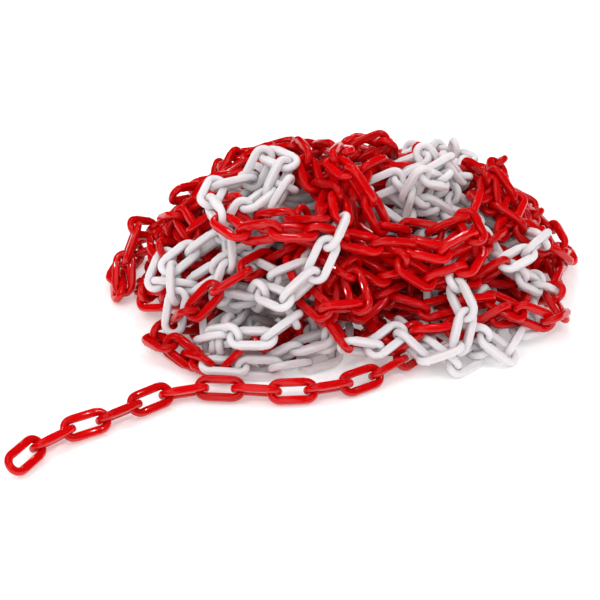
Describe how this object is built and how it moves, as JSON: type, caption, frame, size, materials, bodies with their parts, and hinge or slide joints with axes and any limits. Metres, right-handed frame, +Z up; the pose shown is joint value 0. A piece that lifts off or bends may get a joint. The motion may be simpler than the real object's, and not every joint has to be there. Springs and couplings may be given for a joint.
{
  "type": "plastic barrier chain",
  "caption": "Loose heap of red and white plastic barrier chain with oval links and a free red end drawn out along the floor, each of its links free to swing.",
  "frame": {"origin": "on the floor, under the middle of the whole chain's box", "axes": "+Z up, +X to the right and -Y to the front, where the free end lies to the front left of the heap"},
  "size_m": [0.4459, 0.4819, 0.1521],
  "materials": {
    "red_plastic": "gloss, through-coloured",
    "white_plastic": "gloss, through-coloured, slightly translucent"
  },
  "bodies": {
    "heap": {"link_13": "red_plastic", "red_run_01": "red_plastic", "white_run_01": "white_plastic", "red_run_02": "red_plastic", "white_run_02": "white_plastic", "red_run_03": "red_plastic", "white_run_03": "white_plastic", "red_run_04": "red_plastic", "white_run_04": "white_plastic", "red_run_05": "red_plastic", "white_run_05": "white_plastic", "red_run_06": "red_plastic", "white_run_06": "white_plastic", "red_run_07": "red_plastic", "white_run_07": "white_plastic", "red_run_08": "red_plastic", "white_run_08": "white_plastic", "red_run_09": "red_plastic", "white_run_09": "white_plastic", "red_run_10": "red_plastic", "white_run_10": "white_plastic", "red_run_11": "red_plastic", "white_run_11": "white_plastic", "red_run_12": "red_plastic", "white_run_12": "white_plastic", "red_run_13": "red_plastic", "white_run_13": "white_plastic", "red_run_14": "red_plastic", "white_run_14": "white_plastic", "red_run_15": "red_plastic", "white_run_15": "white_plastic", "red_run_16": "red_plastic", "white_run_16": "white_plastic", "red_run_17": "red_plastic", "white_run_17": "white_plastic", "red_run_18": "red_plastic", "white_run_18": "white_plastic", "red_run_19": "red_plastic", "white_run_19": "white_plastic", "red_run_20": "red_plastic", "white_run_20": "white_plastic", "red_run_21": "red_plastic", "white_run_21": "white_plastic", "red_run_22": "red_plastic", "white_run_22": "white_plastic", "red_run_23": "red_plastic"},
    "link_01": {"link_01": "red_plastic"},
    "link_02": {"link_02": "red_plastic"},
    "link_03": {"link_03": "red_plastic"},
    "link_04": {"link_04": "red_plastic"},
    "link_05": {"link_05": "red_plastic"},
    "link_06": {"link_06": "red_plastic"},
    "link_07": {"link_07": "red_plastic"},
    "link_08": {"link_08": "red_plastic"},
    "link_09": {"link_09": "red_plastic"},
    "link_10": {"link_10": "red_plastic"},
    "link_11": {"link_11": "red_plastic"},
    "link_12": {"link_12": "red_plastic"}
  },
  "joints": [
    {"name": "link_12_swing", "type": "hinge", "parent": "heap", "child": "link_12", "pos_m": [0.06482, -0.09697, 0.00984], "axis": [0.4912, -0.5086, -0.7071], "range_deg": [-15, 0]},
    {"name": "link_11_swing", "type": "hinge", "parent": "link_12", "child": "link_11", "pos_m": [0.04966, -0.11206, 0.0095], "axis": [-0.4912, 0.5086, 0.7071], "range_deg": [0, 50]},
    {"name": "link_10_swing", "type": "hinge", "parent": "link_11", "child": "link_10", "pos_m": [0.02057, -0.13024, 0.0095], "axis": [0.1949, -0.6797, -0.7071], "range_deg": [-50, 0]},
    {"name": "link_09_swing", "type": "hinge", "parent": "link_10", "child": "link_09", "pos_m": [-0.00016, -0.13593, 0.00973], "axis": [-0.1949, 0.6797, 0.7071], "range_deg": [0, 50]},
    {"name": "link_08_swing", "type": "hinge", "parent": "link_09", "child": "link_08", "pos_m": [-0.03438, -0.13832, 0.00973], "axis": [-0.0739, -0.7032, -0.7071], "range_deg": [-50, 0]},
    {"name": "link_07_swing", "type": "hinge", "parent": "link_08", "child": "link_07", "pos_m": [-0.05554, -0.13541, 0.01041], "axis": [0.0739, 0.7032, 0.7071], "range_deg": [0, 50]},
    {"name": "link_06_swing", "type": "hinge", "parent": "link_07", "child": "link_06", "pos_m": [-0.08976, -0.13302, 0.01041], "axis": [0.1949, -0.6797, -0.7071], "range_deg": [-50, 0]},
    {"name": "link_05_swing", "type": "hinge", "parent": "link_06", "child": "link_05", "pos_m": [-0.11064, -0.13898, 0.01053], "axis": [-0.1949, 0.6797, 0.7071], "range_deg": [0, 50]},
    {"name": "link_04_swing", "type": "hinge", "parent": "link_05", "child": "link_04", "pos_m": [-0.13767, -0.1601, 0.01053], "axis": [0.4353, -0.5572, -0.7071], "range_deg": [-50, 0]},
    {"name": "link_03_swing", "type": "hinge", "parent": "link_04", "child": "link_03", "pos_m": [-0.15421, -0.17358, 0.01007], "axis": [-0.4353, 0.5572, 0.7071], "range_deg": [0, 50]},
    {"name": "link_02_swing", "type": "hinge", "parent": "link_03", "child": "link_02", "pos_m": [-0.18391, -0.19073, 0.01007], "axis": [0.4912, -0.5086, -0.7071], "range_deg": [-50, 0]},
    {"name": "link_01_swing", "type": "hinge", "parent": "link_02", "child": "link_01", "pos_m": [-0.19954, -0.20558, 0.0103], "axis": [-0.4912, 0.5086, 0.7071], "range_deg": [0, 50]}
  ]
}
